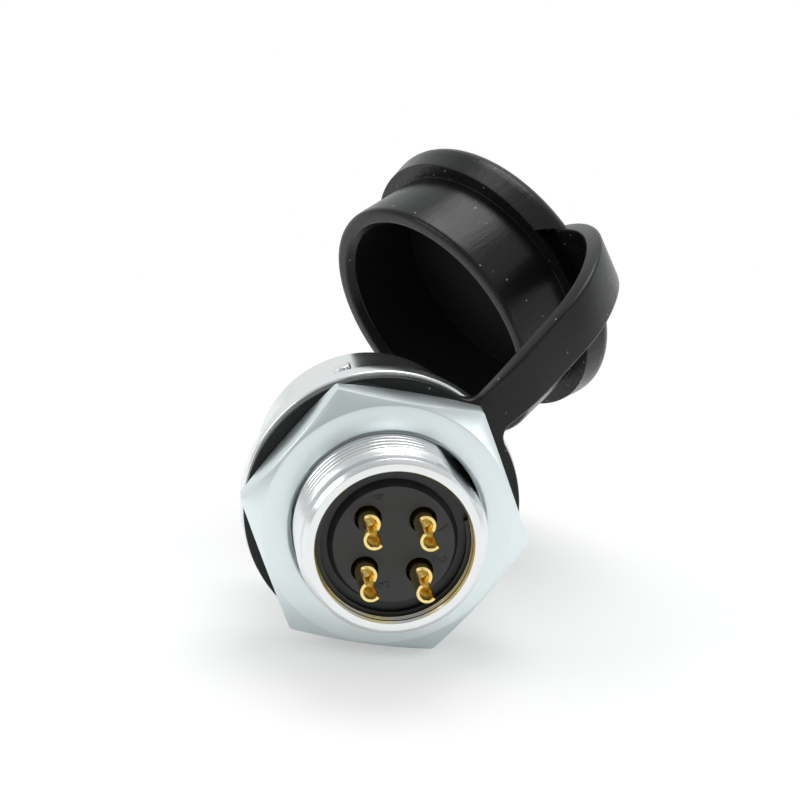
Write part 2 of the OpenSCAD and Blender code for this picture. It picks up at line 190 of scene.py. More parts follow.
thread_d = 20 * MM
thread_pitch = 1.0 * MM
thread_depth = 0.55 * MM
pilot_r = 9.55 * MM
rear_bore_r = 8.1 * MM
coupling_r = 12.4 * MM
socket_r = 10.9 * MM
web_bore_r = 7.0 * MM
flat_r = 9.3 * MM
flat_clock = math.radians(42)
key_clocks = [math.radians(clock) for clock in (90, 205, 325)]
key_depth = 0.8 * MM
key_widths = [2.6 * MM, 1.82 * MM, 1.82 * MM]
key_floor = 6.2 * MM
web_rear = 3 * MM
web_front = 5 * MM

shell_low, shell_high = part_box("shell")
rear_end = shell_low.y
front_end = shell_high.y
flange_r = shell_high.x
flange_t = 2.4 * MM


def shown(name, mesh, sharp):
    """Puts a mesh in the scene, smooth apart from edges sharper than the angle in degrees."""
    made = bpy.data.objects.new(name, mesh)
    bpy.context.collection.objects.link(made)
    mesh.polygons.foreach_set("use_smooth", [True] * len(mesh.polygons))
    mesh.set_sharp_from_angle(angle=math.radians(sharp))
    return made


def finish_mesh(name, points, faces, sharp=32):
    """Makes an object of points and faces."""
    mesh = bpy.data.meshes.new(name)
    mesh.from_pydata(points, [], faces)
    mesh.validate()
    return shown(name, mesh, sharp)


def lathe(name, profile, segments=192, place=None, sharp=32):
    """Turns a closed profile of (distance from the axis, station on the axis) about Y.

    place(r, y, clock) may move a point, which is how threads, flats and keyways are cut."""
    points = []
    for r, y in profile:
        for step in range(segments):
            clock = 2 * math.pi * step / segments
            at_r, at_y = (r, y) if place is None else place(r, y, clock)
            points.append((at_r * math.cos(clock), at_y, at_r * math.sin(clock)))
    rows = len(profile)
    faces = []
    for row in range(rows):
        after = (row + 1) % rows
        for step in range(segments):
            turn = (step + 1) % segments
            faces.append((row * segments + step, row * segments + turn,
                          after * segments + turn, after * segments + step))
    return finish_mesh(name, points, faces, sharp)


def rounded(corners, steps=4):
    """Rounds the corners of an (r, y) outline: each corner is (r, y, radius), radius 0 is sharp."""
    outline = []
    count = len(corners)
    for index, (r, y, radius) in enumerate(corners):
        here = Vector((r, y))
        if radius == 0:
            outline.append(tuple(here))
            continue
        before = Vector(corners[index - 1][:2]) - here
        ahead = Vector(corners[(index + 1) % count][:2]) - here
        half = before.angle(ahead) / 2
        reach = min(radius / math.tan(half), before.length * 0.49, ahead.length * 0.49)
        start = here + before.normalized() * reach
        end = here + ahead.normalized() * reach
        for step in range(steps + 1):
            t = step / steps
            outline.append(tuple(start * (1 - t) ** 2 + here * 2 * t * (1 - t) + end * t * t))
    return outline


end_chamfer = 0.45 * MM
mouth_relief = 0.22 * MM
pilot_stop = rear_end + 2.15 * MM
cone_stop = rear_end + 2.6 * MM
thread_start = rear_end + 2.65 * MM
thread_stop = rear_end + 8.4 * MM


def thread_ridge(y, clock):
    """Depth of the thread's groove, fading out at both ends of the cut."""
    phase = (y / thread_pitch - clock / (2 * math.pi)) % 1.0
    groove = (0.5 - 0.5 * math.cos(2 * math.pi * phase)) ** 1.5
    fade_in = min(1.0, max(0.0, (y - thread_start) / (0.5 * MM)))
    fade_out = min(1.0, max(0.0, (thread_stop - y) / (0.5 * MM)))
    return thread_depth * groove * min(fade_in, fade_out)


def shell_point(r, y, clock):
    """Cuts the thread, the milled flat and the keyways: takes a turned point to its place."""
    if thread_start <= y <= thread_stop and r > thread_d / 2 - 0.1 * MM:
        r -= thread_ridge(y, clock)
    if y < -0.2 * MM and r > flat_r:
        lean = math.cos(clock - flat_clock)
        if r * lean > flat_r:
            r = flat_r / lean
    if y > key_floor and abs(r - socket_r) < 0.3 * MM:
        for key_clock, key_width in zip(key_clocks, key_widths):
            off = math.remainder(clock - key_clock, 2 * math.pi) * r
            if abs(off) < key_width / 2:
                r += key_depth
    return r, y


thread_steps = 72
thread_rows = [(thread_d / 2, thread_start + (thread_stop - thread_start) * row / thread_steps)
               for row in range(thread_steps + 1)]
ridge_depth = 0.09 * MM
bore_ridges = []
for ridge in (2, 1, 0):
    station = rear_end + (0.55 + 0.3 * ridge) * MM
    bore_ridges += [
        (rear_bore_r, station + 0.20 * MM, 0), (rear_bore_r + ridge_depth, station + 0.12 * MM, 0),
        (rear_bore_r + ridge_depth, station + 0.06 * MM, 0), (rear_bore_r, station, 0)]
rear_outline = rounded([
    (rear_bore_r, rear_end + 3 * MM, 0)] + bore_ridges + [
    (rear_bore_r, rear_end + 0.25 * MM, 0.05 * MM),
    (rear_bore_r + mouth_relief, rear_end, 0.08 * MM),
    (pilot_r - end_chamfer, rear_end, 0.12 * MM),
    (pilot_r, rear_end + end_chamfer, 0.12 * MM),
    (pilot_r, pilot_stop, 0.05 * MM),
    (thread_d / 2 - 0.02 * MM, cone_stop, 0)])
front_outline = rounded([
    (thread_d / 2, -0.05 * MM, 0),
    (thread_d / 2, 0, 0),
    (flange_r, 0, 0.3 * MM),
    (flange_r, flange_t, 0.3 * MM),
    (coupling_r + 0.02 * MM, flange_t, 0.15 * MM),
    (coupling_r, flange_t + 0.4 * MM, 0),
    (coupling_r, front_end, 0.4 * MM),
    (socket_r, front_end, 0.4 * MM),
    (socket_r, key_floor + 0.05 * MM, 0),
    (socket_r, key_floor - 0.05 * MM, 0),
    (socket_r, web_front, 0),
    (web_bore_r, web_front, 0),
    (web_bore_r, web_rear, 0),
    (rear_bore_r, web_rear, 0)])
shell = lathe("shell_turned", rear_outline + thread_rows + front_outline, 288, shell_point)
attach(shell, "receptacle")
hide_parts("shell")


# Turning marks: fine rings across a turned face, made from the distance to the axis and the
# station along it. Used by the plated metals, each with its own spacing and depth.

def shared_group(name, inputs, outputs):
    group = bpy.data.node_groups.new(name, "ShaderNodeTree")
    for label, value in inputs:
        socket = group.interface.new_socket(label, in_out="INPUT", socket_type="NodeSocketFloat")
        socket.default_value = value
    for label, kind in outputs:
        group.interface.new_socket(label, in_out="OUTPUT", socket_type="NodeSocket" + kind)
    return group, group.nodes.new("NodeGroupInput"), group.nodes.new("NodeGroupOutput")


turning, given, result = shared_group(
    "turning_marks", [("Rings per metre", 4000.0), ("Unevenness", 0.5)],
    [("Height", "Float"), ("Tone", "Float")])
place = node(turning, "TexCoord")
parts = node(turning, "SeparateXYZ", inputs={0: place.outputs["Object"]})
flat_place = node(turning, "CombineXYZ", inputs={"X": parts.outputs["X"], "Z": parts.outputs["Z"]})
radius = node(turning, "VectorMath", {"operation": "LENGTH"}, {0: flat_place.outputs[0]})
path = node(turning, "Math", {"operation": "ADD"}, {0: radius.outputs["Value"], 1: parts.outputs["Y"]})
count = node(turning, "Math", {"operation": "MULTIPLY"}, {
    0: path.outputs[0], 1: given.outputs["Rings per metre"]})
ring_place = node(turning, "CombineXYZ", inputs={"X": count.outputs[0]})
rings = node(turning, "TexNoise", {"noise_dimensions": "3D"}, {
    "Vector": ring_place.outputs[0], "Scale": 1.0, "Detail": 3.0, "Roughness": 0.6})
patches = node(turning, "TexNoise", inputs={
    "Vector": place.outputs["Object"], "Scale": 160.0, "Detail": 3.0, "Roughness": 0.55})
tone = node(turning, "Mix", {"data_type": "FLOAT"}, {
    0: given.outputs["Unevenness"], 2: rings.outputs["Fac"], 3: patches.outputs["Fac"]})
turning.links.new(rings.outputs["Fac"], result.inputs["Height"])
turning.links.new(tone.outputs[0], result.inputs["Tone"])


def plated_metal(name, colour, rough_low, rough_high, rings_per_metre, depth, unevenness=0.5):
    """Satin plated metal with turning marks that catch the light a little."""
    made, tree, output = material(name)
    marks = node(tree, "Group", {"node_tree": turning}, {
        "Rings per metre": rings_per_metre, "Unevenness": unevenness})
    rough = node(tree, "MapRange", inputs={
        "Value": marks.outputs["Tone"], "From Min": 0.3, "From Max": 0.7,
        "To Min": rough_low, "To Max": rough_high})
    shade = node(tree, "MapRange", inputs={
        "Value": marks.outputs["Tone"], "From Min": 0.3, "From Max": 0.7, "To Min": 0.93, "To Max": 1.0})
    toned = node(tree, "VectorMath", {"operation": "SCALE"}, {0: colour, "Scale": shade.outputs[0]})
    bump = node(tree, "Bump", inputs={
        "Height": marks.outputs["Height"], "Distance": depth, "Strength": 1.0})
    metal = node(tree, "BsdfPrincipled", inputs={
        "Base Color": toned.outputs[0], "Roughness": rough.outputs[0], "Metallic": 1.0,
        "Normal": bump.outputs[0]})
    tree.links.new(metal.outputs[0], output.inputs["Surface"])
    return made


shell_metal = plated_metal("satin_shell", (0.83, 0.845, 0.85), 0.16, 0.28, 5000.0, 0.000004)
shell.data.materials.append(shell_metal)

# The bore isn't plated: there the brass stays bare and a little tarnished
bore_metal = plated_metal("bare_bore", (0.60, 0.60, 0.57), 0.14, 0.26, 6000.0, 0.000004)
shell.data.materials.append(bore_metal)
for face in shell.data.polygons:
    in_bore = math.hypot(face.center.x, face.center.z) < rear_bore_r + 0.12 * MM
    if in_bore and rear_end + 0.1 * MM < face.center.y < 0:
        face.material_index = 1


# ---- Bayonet pins -------------------------------------------------------------------------------
# Three short steel pins pressed into the front barrel, which draw the plug's ring home. Each has
# a low domed head that stands a little proud of the barrel.

pin_r = 1.0 * MM
pin_rise = 0.55 * MM
pin_station = front_end - 5.3 * MM
pin_clock = 108
pin_dome = 0.12 * MM
pin_root_r = socket_r + 0.6 * MM
pin_head_r = coupling_r + pin_rise
pin_middle_r = 0.2 * MM


def skinned(name, rows, sharp=32):
    """Skins closed rows of points, one after another, and closes both ends."""
    count = len(rows[0])
    faces = [(row * count + step, row * count + (step + 1) % count,
              (row + 1) * count + (step + 1) % count, (row + 1) * count + step)
             for row in range(len(rows) - 1) for step in range(count)]
    faces.append(tuple(range(count - 1, -1, -1)))
    faces.append(tuple(range((len(rows) - 1) * count, len(rows) * count)))
    made = finish_mesh(name, [point for row in rows for point in row], faces, sharp)
    solid = bmesh.new()
    solid.from_mesh(made.data)
    bmesh.ops.recalc_face_normals(solid, faces=solid.faces)
    solid.to_mesh(made.data)
    solid.free()
    return made


forward = Vector((0, 1, 0))
pin_metal = plated_metal("pin_metal", (0.80, 0.81, 0.82), 0.18, 0.30, 9000.0, 0.000002)
pin_outline = rounded([
    (pin_middle_r, pin_root_r, 0), (pin_r, pin_root_r, 0.1 * MM),
    (pin_r, pin_head_r - pin_dome, 0.12 * MM), (pin_middle_r, pin_head_r, 0)], 5)
for number in range(3):
    clock = math.radians(pin_clock + 120 * number)
    out = Vector((math.cos(clock), 0, math.sin(clock)))
    over = Vector((-math.sin(clock), 0, math.cos(clock)))
    turns = [2 * math.pi * step / 48 for step in range(48)]
    pin = skinned("bayonet_pin_%d" % (number + 1), [[
        out * height + forward * (pin_station + r * math.cos(turn)) + over * r * math.sin(turn)
        for turn in turns] for r, height in pin_outline])
    pin.data.materials.append(pin_metal)
    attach(pin, "receptacle")
    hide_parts("coupling_pins")


# ---- Jam nut ------------------------------------------------------------------------------------
# A turned hexagon nut, 27 mm across its flats. Both faces are chamfered at 30 degrees, which
# leaves round faces and curved edges on the flats; the thread's mouth is countersunk.

nut_low, nut_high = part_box("hex_nut")
nut_rear = nut_low.y
nut_front = nut_high.y
nut_flats = 27 * MM
nut_face_r = 13.2 * MM
nut_bore_r = 10.05 * MM
nut_clock = math.radians(112.5)
nut_mouth_r = 10.55 * MM
corner_break = 0.04 * MM
edge_soft = 0.05 * MM
chamfer_slope = math.tan(math.radians(30))
nut_corner_r = nut_flats / 2 / math.cos(math.radians(30))


def hexagon_r(clock):
    """Distance from the axis to the hexagon's side, with its corners a touch rounded."""
    off = math.remainder(clock - nut_clock - math.radians(30), math.radians(60))
    return min(nut_flats / 2 / math.cos(off), nut_corner_r - corner_break)


def nut_point(r, y, clock):
    """Points with r -1 lie on the hexagon's side, where y numbers them from the rear to the front."""
    if r > 0:
        return r, y
    side = hexagon_r(clock)
    drop = (side - nut_face_r) * chamfer_slope
    rear = nut_rear + drop
    front = nut_front - drop
    side_points = [
        (side - edge_soft, rear - edge_soft * chamfer_slope),
        (side - edge_soft * 0.25, rear + edge_soft * 0.1),
        (side, rear + edge_soft),
        (side, front - edge_soft),
        (side - edge_soft * 0.25, front - edge_soft * 0.1),
        (side - edge_soft, front + edge_soft * chamfer_slope)]
    return side_points[y]


nut_profile = [
    (nut_bore_r, nut_rear + 0.55 * MM),
    (nut_mouth_r - 0.06 * MM, nut_rear + 0.05 * MM),
    (nut_mouth_r, nut_rear + 0.012 * MM),
    (nut_mouth_r + 0.08 * MM, nut_rear),
    (nut_face_r - 0.12 * MM, nut_rear),
    (nut_face_r, nut_rear + 0.02 * MM),
    (nut_face_r + 0.1 * MM, nut_rear + 0.058 * MM)]
nut_profile += [(-1, number) for number in range(6)]
nut_profile += [
    (nut_face_r + 0.1 * MM, nut_front - 0.058 * MM),
    (nut_face_r, nut_front - 0.02 * MM),
    (nut_face_r - 0.12 * MM, nut_front),
    (nut_mouth_r, nut_front),
    (nut_bore_r, nut_front - 0.5 * MM)]
nut = lathe("jam_nut", nut_profile, 360, nut_point, sharp=24)
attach(nut, "nut")
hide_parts("hex_nut")
nut_metal = plated_metal("satin_nut", (0.79, 0.855, 0.865), 0.28, 0.38, 3000.0, 0.000002, 0.8)
nut.data.materials.append(nut_metal)


# ---- Rear insulator -----------------------------------------------------------------------------
# A black glass-filled moulding in the rear bore: an outer ring, a raised centre with a sloping
# side, and a hole for each contact. The contacts are numbered beside their holes.

insulator_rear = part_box("rear_insulator")[0].y


def moulded_plastic(name, colour, rough):
    """Matt moulded plastic with a fine grain and soft cloudy patches."""
    made, tree, output = material(name)
    place = node(tree, "TexCoord")
    grain = node(tree, "TexNoise", inputs={
        "Vector": place.outputs["Object"], "Scale": 9000.0, "Detail": 4.0, "Roughness": 0.7})
    cloud = node(tree, "TexNoise", inputs={
        "Vector": place.outputs["Object"], "Scale": 350.0, "Detail": 3.0, "Roughness": 0.6})
    shade = node(tree, "MapRange", inputs={
        "Value": cloud.outputs["Fac"], "From Min": 0.3, "From Max": 0.7, "To Min": 0.88, "To Max": 1.12})
    toned = node(tree, "VectorMath", {"operation": "SCALE"}, {0: colour, "Scale": shade.outputs[0]})
    roughness = node(tree, "MapRange", inputs={
        "Value": cloud.outputs["Fac"], "From Min": 0.3, "From Max": 0.7,
        "To Min": rough - 0.05, "To Max": rough + 0.07})
    bump = node(tree, "Bump", inputs={"Height": grain.outputs["Fac"], "Distance": 0.000006})
    plastic = node(tree, "BsdfPrincipled", inputs={
        "Base Color": toned.outputs[0], "Roughness": roughness.outputs[0], "Normal": bump.outputs[0]})
    tree.links.new(plastic.outputs[0], output.inputs["Surface"])
    return made


insulator_plastic = moulded_plastic("insulator_plastic", (0.028, 0.029, 0.030), 0.48)
frame["nodes"]["rear_insulator"].data.materials[0] = insulator_plastic
frame["nodes"]["front_insulator"].data.materials[0] = insulator_plastic

# The raised numbers, each a stroke drawn in millimetres, with its place and the way its top points
numbers = [
    ([(0.15, 0.95), (0.4, 1.2), (0.4, 0)], (5.04, 1.88), 37),
    ([(0.08, 0.95), (0.2, 1.15), (0.42, 1.2), (0.65, 1.1), (0.7, 0.85), (0.6, 0.6), (0.05, 0), (0.75, 0)],
     (4.96, -1.54), 0),
    ([(0.08, 1.0), (0.25, 1.18), (0.5, 1.18), (0.68, 1.0), (0.62, 0.75), (0.38, 0.64), (0.66, 0.52),
      (0.72, 0.25), (0.52, 0.03), (0.22, 0.03), (0.05, 0.2)], (-0.75, -4.5), 195),
    ([(0.75, 0.35), (0.02, 0.35), (0.55, 1.2), (0.55, 0)], (-1.95, 5.09), 188)]
# Each stroke is a low ridge, sunk a little into the face: (sideways, depth) of its section
ridge_section = [(-0.13, 0.05), (-0.075, -0.09), (0.075, -0.09), (0.13, 0.05)]
for number, (stroke, (middle_x, middle_z), top_clock) in enumerate(numbers, 1):
    top = Vector((math.cos(math.radians(top_clock)), 0, math.sin(math.radians(top_clock))))
    right = Vector((top.z, 0, -top.x))
    corners = [Vector((middle_x, 0, middle_z)) + right * (x - 0.4) + top * (y - 0.6)
               for x, y in stroke]
    rows = []
    for index, corner in enumerate(corners):
        before = (corner - corners[max(index - 1, 0)]).normalized()
        ahead = (corners[min(index + 1, len(corners) - 1)] - corner).normalized()
        aside = (before + ahead).normalized().cross(forward)
        rows.append([(corner + aside * side) * MM + forward * (insulator_rear + depth * MM)
                     for side, depth in ridge_section])
    digit = skinned("number_%d" % number, rows)
    digit.data.materials.append(insulator_plastic)
    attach(digit, "receptacle")


# ---- Contacts -----------------------------------------------------------------------------------
# Four turned brass contacts, gold plated. Each ends at the rear in a solder cup with one side
# scooped away, so that a wire can be laid in, and at the front in a round-nosed pin.

cup_r = 1.1 * MM
cup_bore_r = 0.78 * MM
collar_r = 1.33 * MM
shoulder_r = 1.9 * MM
front_pin_r = 1.25 * MM
cup_rise = 6.4 * MM
scoop_rise = 1.9 * MM
scoop_clock = math.radians(46)
grid_x = 5.7 * MM
grid_z = 5.55 * MM
insert_joint = -2.0 * MM
shoulder_t = 2.0 * MM
collar_sunk = 1.2 * MM
boss_top = insulator_rear
cup_tip = boss_top - cup_rise
pin_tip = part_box("contact_1")[1].y

contact_outline = rounded([
    (0.3 * MM, boss_top - 0.1 * MM, 0), (cup_bore_r, boss_top - 0.3 * MM, 0.1 * MM),
    (cup_bore_r, cup_tip, 0.06 * MM), (cup_r, cup_tip, 0.09 * MM),
    (cup_r, boss_top + collar_sunk - 0.2 * MM, 0.1 * MM), (collar_r, boss_top + collar_sunk, 0.1 * MM),
    (collar_r, insert_joint - shoulder_t, 0), (shoulder_r, insert_joint - shoulder_t, 0.1 * MM),
    (shoulder_r, insert_joint, 0.1 * MM), (front_pin_r, insert_joint, 0),
    (front_pin_r, pin_tip, front_pin_r * 0.9), (0.15 * MM, pin_tip, 0)], 6)
contact_middles = [Vector((grid_x / 2 * x, 0, grid_z / 2 * z))
                   for x, z in ((-1, 1), (1, 1), (-1, -1), (1, -1))]

# The cutter of the scoop: a block past the cup's middle, with a rounded corner at its floor
scoop_in = cup_r * 0.12
scoop_floor = boss_top - scoop_rise
scoop_past = 3 * MM
scoop_half_w = 2 * MM
scoop_behind = cup_tip - 1 * MM
scoop_side = rounded([
    (scoop_in, scoop_behind, 0), (scoop_past, scoop_behind, 0),
    (scoop_past, scoop_floor, 0), (scoop_in, scoop_floor, 0.35 * MM)], 6)


def combined(name, first, second, operation="UNION"):
    """Makes one closed mesh of two that overlap, or cuts the second out of the first."""
    change = first.modifiers.new("change", "BOOLEAN")
    change.operation = operation
    change.solver = "EXACT"
    change.object = second
    bpy.context.view_layer.update()
    mesh = bpy.data.meshes.new_from_object(first.evaluated_get(bpy.context.evaluated_depsgraph_get()))
    for used in (first, second):
        bpy.data.objects.remove(used)
    return shown(name, mesh, 35)


gold, tree, output = material("gold_plate")
place = node(tree, "TexCoord")
wear = node(tree, "TexNoise", inputs={
    "Vector": place.outputs["Object"], "Scale": 1400.0, "Detail": 4.0, "Roughness": 0.6})
hue = node(tree, "Mix", {"data_type": "RGBA"}, {
    0: wear.outputs["Fac"], 6: (0.82, 0.60, 0.17, 1), 7: (0.93, 0.77, 0.36, 1)})
gloss = node(tree, "MapRange", inputs={
    "Value": wear.outputs["Fac"], "From Min": 0.3, "From Max": 0.7, "To Min": 0.12, "To Max": 0.24})
bump = node(tree, "Bump", inputs={"Height": wear.outputs["Fac"], "Distance": 0.000008})
gold_shader = node(tree, "BsdfPrincipled", inputs={
    "Base Color": hue.outputs[2], "Roughness": gloss.outputs[0], "Metallic": 1.0, "Normal": bump.outputs[0]})
tree.links.new(gold_shader.outputs[0], output.inputs["Surface"])

scoop_out = Vector((math.cos(scoop_clock), 0, math.sin(scoop_clock)))
scoop_over = Vector((-math.sin(scoop_clock), 0, math.cos(scoop_clock)))
for number, middle in enumerate(contact_middles, 1):
    blank = skinned("blank", [[
        middle + Vector((r * math.cos(2 * math.pi * step / 72), y, r * math.sin(2 * math.pi * step / 72)))
        for step in range(72)] for r, y in contact_outline])
    cutter = skinned("cutter", [[
        middle + scoop_out * x + Vector((0, y, 0)) + scoop_over * side for x, y in scoop_side]
        for side in (-scoop_half_w, scoop_half_w)])
    contact = combined("contact_turned_%d" % number, blank, cutter, "DIFFERENCE")
    contact.data.materials.clear()
    contact.data.materials.append(gold)
    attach(contact, "receptacle")
    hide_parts("contact_%d" % number)


# ---- Retaining ring -----------------------------------------------------------------------------
# A split ring of spring steel in a groove of the bore, which holds the insulators in.

# Its metal is made nearly black: painted shade and painted dark reflection, for the shade the ring lies in
# at the top of the bore
ring_steel = plated_metal("ring_steel", (0.05, 0.05, 0.045), 0.26, 0.38, 9000.0, 0.000002)
frame["nodes"]["retaining_ring"].data.materials[0] = ring_steel


# ---- Rubber moulding ----------------------------------------------------------------------------
# Ring, strap and dust cap are one black rubber moulding, slid over the barrel before the nut. It
# is drawn flat, as it is moulded, and then laid along the strap's bends. It is parted in the
# middle of the strap, where it doesn't flex.

ring_rubber_t = 1.6 * MM
strap_t = 1.95 * MM
strap_ring_r = 14.8 * MM
strap_ring_hole_r = 10.15 * MM
neck_fillet = 1.8 * MM
neck_w = 4.7 * MM
strap_w = 6 * MM
tab_reach = 14.7 * MM
strap_from_r = 12.2 * MM
strap_into_cap = 1.4 * MM

# The strap's middle line from the root: stretches of (length, angle turned)
stretches = [(17.7 * MM * math.radians(19), 19), (5 * MM, 0), (10 * MM * math.radians(31), 31),
             (16 * MM * math.radians(73.5), 73.5)]
# Width, thickness and sideways twist by the heading of the line
strap_form = [(0, neck_w, ring_rubber_t, 0), (19, (neck_w + 2 * strap_w) / 3, strap_t, 17.5),
              (50, strap_w, strap_t, 22.5), (123.5, strap_w, strap_t, 12.5)]

across = Vector(joints["strap_root"]["axis"]).normalized()
outward = forward.cross(across)
root_x = Vector(joints["strap_root"]["pos_m"]).dot(outward)


def middle_line(s):
    """Place (outward, forward) and heading in degrees of the strap's middle at a length s."""
    x, y, heading = root_x, -ring_rubber_t / 2, 0.0
    for length, turn in stretches:
        part = max(0.0, min(s, length))
        before = math.radians(heading)
        after = math.radians(heading + turn * part / length)
        if turn:
            bend_r = length / math.radians(turn)
            x += bend_r * (math.sin(after) - math.sin(before))
            y += bend_r * (math.cos(before) - math.cos(after))
            heading += turn * part / length
        else:
            x += part * math.cos(before)
            y += part * math.sin(before)
        s -= length if s > length else part
    x += s * math.cos(math.radians(heading))
    y += s * math.sin(math.radians(heading))
    return x, y, heading


def form_at(heading):
    """Width, thickness and twist of the strap at a heading."""
    for before, after in zip(strap_form, strap_form[1:]):
        if heading <= after[0]:
            share = (heading - before[0]) / (after[0] - before[0])
            return [one + (other - one) * share for one, other in zip(before[1:], after[1:])]
    return strap_form[-1][1:]


def set_out(line_point, twist, up, side):
    """Takes a point of a section, up from its middle and aside, to its place on the line."""
    x, y, heading = line_point
    heading = math.radians(heading)
    twist = math.radians(twist)
    lift = up * math.cos(twist) - side * math.sin(twist)
    slip = up * math.sin(twist) + side * math.cos(twist)
    return (outward * (x - lift * math.sin(heading)) + forward * (y + lift * math.cos(heading))
            + across * slip)


# Where the fillets between the ring and the neck start and end, as lengths along the strap
fillet_end = math.sqrt((strap_ring_r + neck_fillet) ** 2 - (neck_w / 2 + neck_fillet) ** 2) - root_x
fillet_start = (fillet_end + root_x) * strap_ring_r / (strap_ring_r + neck_fillet) - root_x


def strap_section(s, soft=0.40 * MM, corner_steps=4):
    """The rounded section of the strap at a length s, as points in space."""
    line_point = middle_line(s)
    width, thickness, twist = form_at(line_point[2])
    if s < fillet_end:
        run = fillet_end - max(s, fillet_start)
        width += 2 * (neck_fillet - math.sqrt(neck_fillet ** 2 - run ** 2))
    high = thickness / 2 - 0.002 * MM - soft
    wide = width / 2 - soft
    points = []
    for quarter in range(4):
        centre_up = high * (1 if quarter in (0, 3) else -1)
        centre_side = wide * (1 if quarter in (0, 1) else -1)
        for step in range(corner_steps + 1):
            turn = math.pi / 2 * (quarter + step / corner_steps)
            points.append(set_out(line_point, twist, centre_up + soft * math.cos(turn),
                                  centre_side + soft * math.sin(turn)))
    return points


def strap_sweep(name, start, end, steps):
    """A piece of the strap between two lengths along it."""
    rows = [strap_section(start + (end - start) * step / steps) for step in range(steps + 1)]
    return skinned(name, rows)


strap_len = sum(length for length, turn in stretches)
parting = stretches[0][0] + stretches[1][0] + stretches[2][0] * 0.25
ring_part = lathe("ring_part", rounded([
    (strap_ring_hole_r, -ring_rubber_t, 0.15 * MM), (strap_ring_r, -ring_rubber_t, 0.3 * MM),
    (strap_ring_r, 0, 0.3 * MM), (strap_ring_hole_r, 0, 0.15 * MM)]), 192)
low_part = strap_sweep("low_part", strap_from_r - root_x, parting, 60)
strap_low = combined("strap_and_ring", ring_part, low_part)

# The cap, from its closed end (height 0) to its lip, as (radius, height, rounding). The grip rim
# at the closed end is gapped behind the strap, so that the strap can fold close to the skirt.
cap_bore_r = 13.2 * MM
lip_r = 15.6 * MM
skirt_r = 14.95 * MM
cap_h = 12.7 * MM
rim_h = 4.1 * MM
rim_r = 16.7 * MM
rim_end_r = 17.15 * MM
rim_round = 1.6 * MM
cap_floor_t = 2.2 * MM
disc_r = 4 * MM
gap_from = strap_t - 0.2 * MM
gap_half_low = 3.1 * MM
gap_half_high = 4.4 * MM
gap_edge = 0.22 * MM
# Depth from the lip at which the painted shade of the cap's inside starts
shade_free_mouth = 3.4 * MM
closed_end = [(rim_end_r - rim_round * (1 - math.sin(turn)), rim_round * (1 - math.cos(turn)), 0)
              for turn in [math.pi / 2 * step / 10 for step in range(11)]]
rim_side = [(rim_end_r + (rim_r - rim_end_r) * step / 12, gap_from + (rim_h - gap_from) * step / 12, 0)
            for step in range(1, 12)]
rim_face = [(rim_r + (skirt_r - rim_r) * step / 10, rim_h, 0) for step in range(2, 10)]
cap_outline = rounded(
    [(disc_r, 0, 0)] + closed_end + [(rim_end_r - 0.03 * MM, gap_from, 0)] + rim_side
    + [(rim_r, rim_h, 0.35 * MM)] + rim_face
    + [(skirt_r, rim_h, 0.12 * MM), (lip_r, cap_h, 0.85 * MM), (cap_bore_r + 0.75 * MM, cap_h, 0.5 * MM),
       (cap_bore_r, cap_h - 0.9 * MM, 0.5 * MM), (cap_bore_r, cap_floor_t, 0.1 * MM),
       (disc_r, cap_floor_t, 0)], 8)


def cap_point(r, height, clock):
    """Place of a point of the cap, with the rim drawn in to the skirt inside the gap."""
    side = r * math.sin(clock)
    on_rim = skirt_r < r and gap_from + 0.01 * MM < height <= rim_h
    if on_rim and math.cos(clock) < 0:
        rise = min(1.0, max(0.0, (height - gap_from) / (rim_h - gap_from)))
        on_face = rise > 0.999
        run = (rim_r - r) / (rim_r - skirt_r)
        gap_half_w = gap_half_low + (gap_half_high - gap_half_low) * rise
        inside = min(1.0, max(0.0, (gap_half_w + gap_edge - abs(side)) / (2 * gap_edge)))
        inside = inside * inside * (3 - 2 * inside)
        drawn_r = skirt_r if on_face else r + (skirt_r - r) * rise
        drawn_height = strap_t + (rim_h - strap_t) * run if on_face else strap_t
        r += (drawn_r - r) * inside
        height += (drawn_height - height) * inside
    x, y, heading = middle_line(strap_len)
    along = tab_reach + r * math.cos(clock)
    lean = math.radians(heading)
    centre = (x + along * math.cos(lean), y + along * math.sin(lean), heading)
    return set_out(centre, form_at(heading)[2], height - strap_t / 2, r * math.sin(clock))


# The cap is drawn in fine steps beside the strap and coarser ones elsewhere
fine_half = 22
coarse = [fine_half + (360 - 2 * fine_half) * step / 200 for step in range(200)]
fine = [-fine_half + 2 * fine_half * step / 120 for step in range(120)]
cap_clocks = [math.pi + math.radians(clock) for clock in coarse + fine]
cap_part = skinned("cap_part", [[cap_point(r, height, clock) for clock in cap_clocks]
                                for r, height in cap_outline])
high_part = strap_sweep("high_part", parting, strap_len + strap_into_cap, 64)
strap_high = combined("cap_and_strap", cap_part, high_part)

cap_middle = cap_point(0, strap_t / 2, 0)
cap_axis = (cap_point(0, cap_h, 0) - cap_middle).normalized()

rubber, tree, output = material("black_rubber")
place = node(tree, "TexCoord")
grain = node(tree, "TexNoise", inputs={
    "Vector": place.outputs["Object"], "Scale": 5000.0, "Detail": 4.0, "Roughness": 0.65})
cloud = node(tree, "TexNoise", inputs={
    "Vector": place.outputs["Object"], "Scale": 160.0, "Detail": 4.0, "Roughness": 0.6})
ragged = node(tree, "VectorMath", {"operation": "MULTIPLY_ADD"}, {
    0: grain.outputs["Color"], 1: (0.00035, 0.00035, 0.00035), 2: place.outputs["Object"]})
dust = node(tree, "TexVoronoi", {"feature": "F1"}, {
    "Vector": ragged.outputs[0], "Scale": 900.0, "Randomness": 1.0})
speck = node(tree, "MapRange", inputs={
    "Value": dust.outputs["Distance"], "From Min": 0.04, "From Max": 0.13, "To Min": 1.0, "To Max": 0.0})
sparse = node(tree, "MapRange", inputs={
    "Value": dust.outputs["Color"], "From Min": 0.66, "From Max": 0.68})
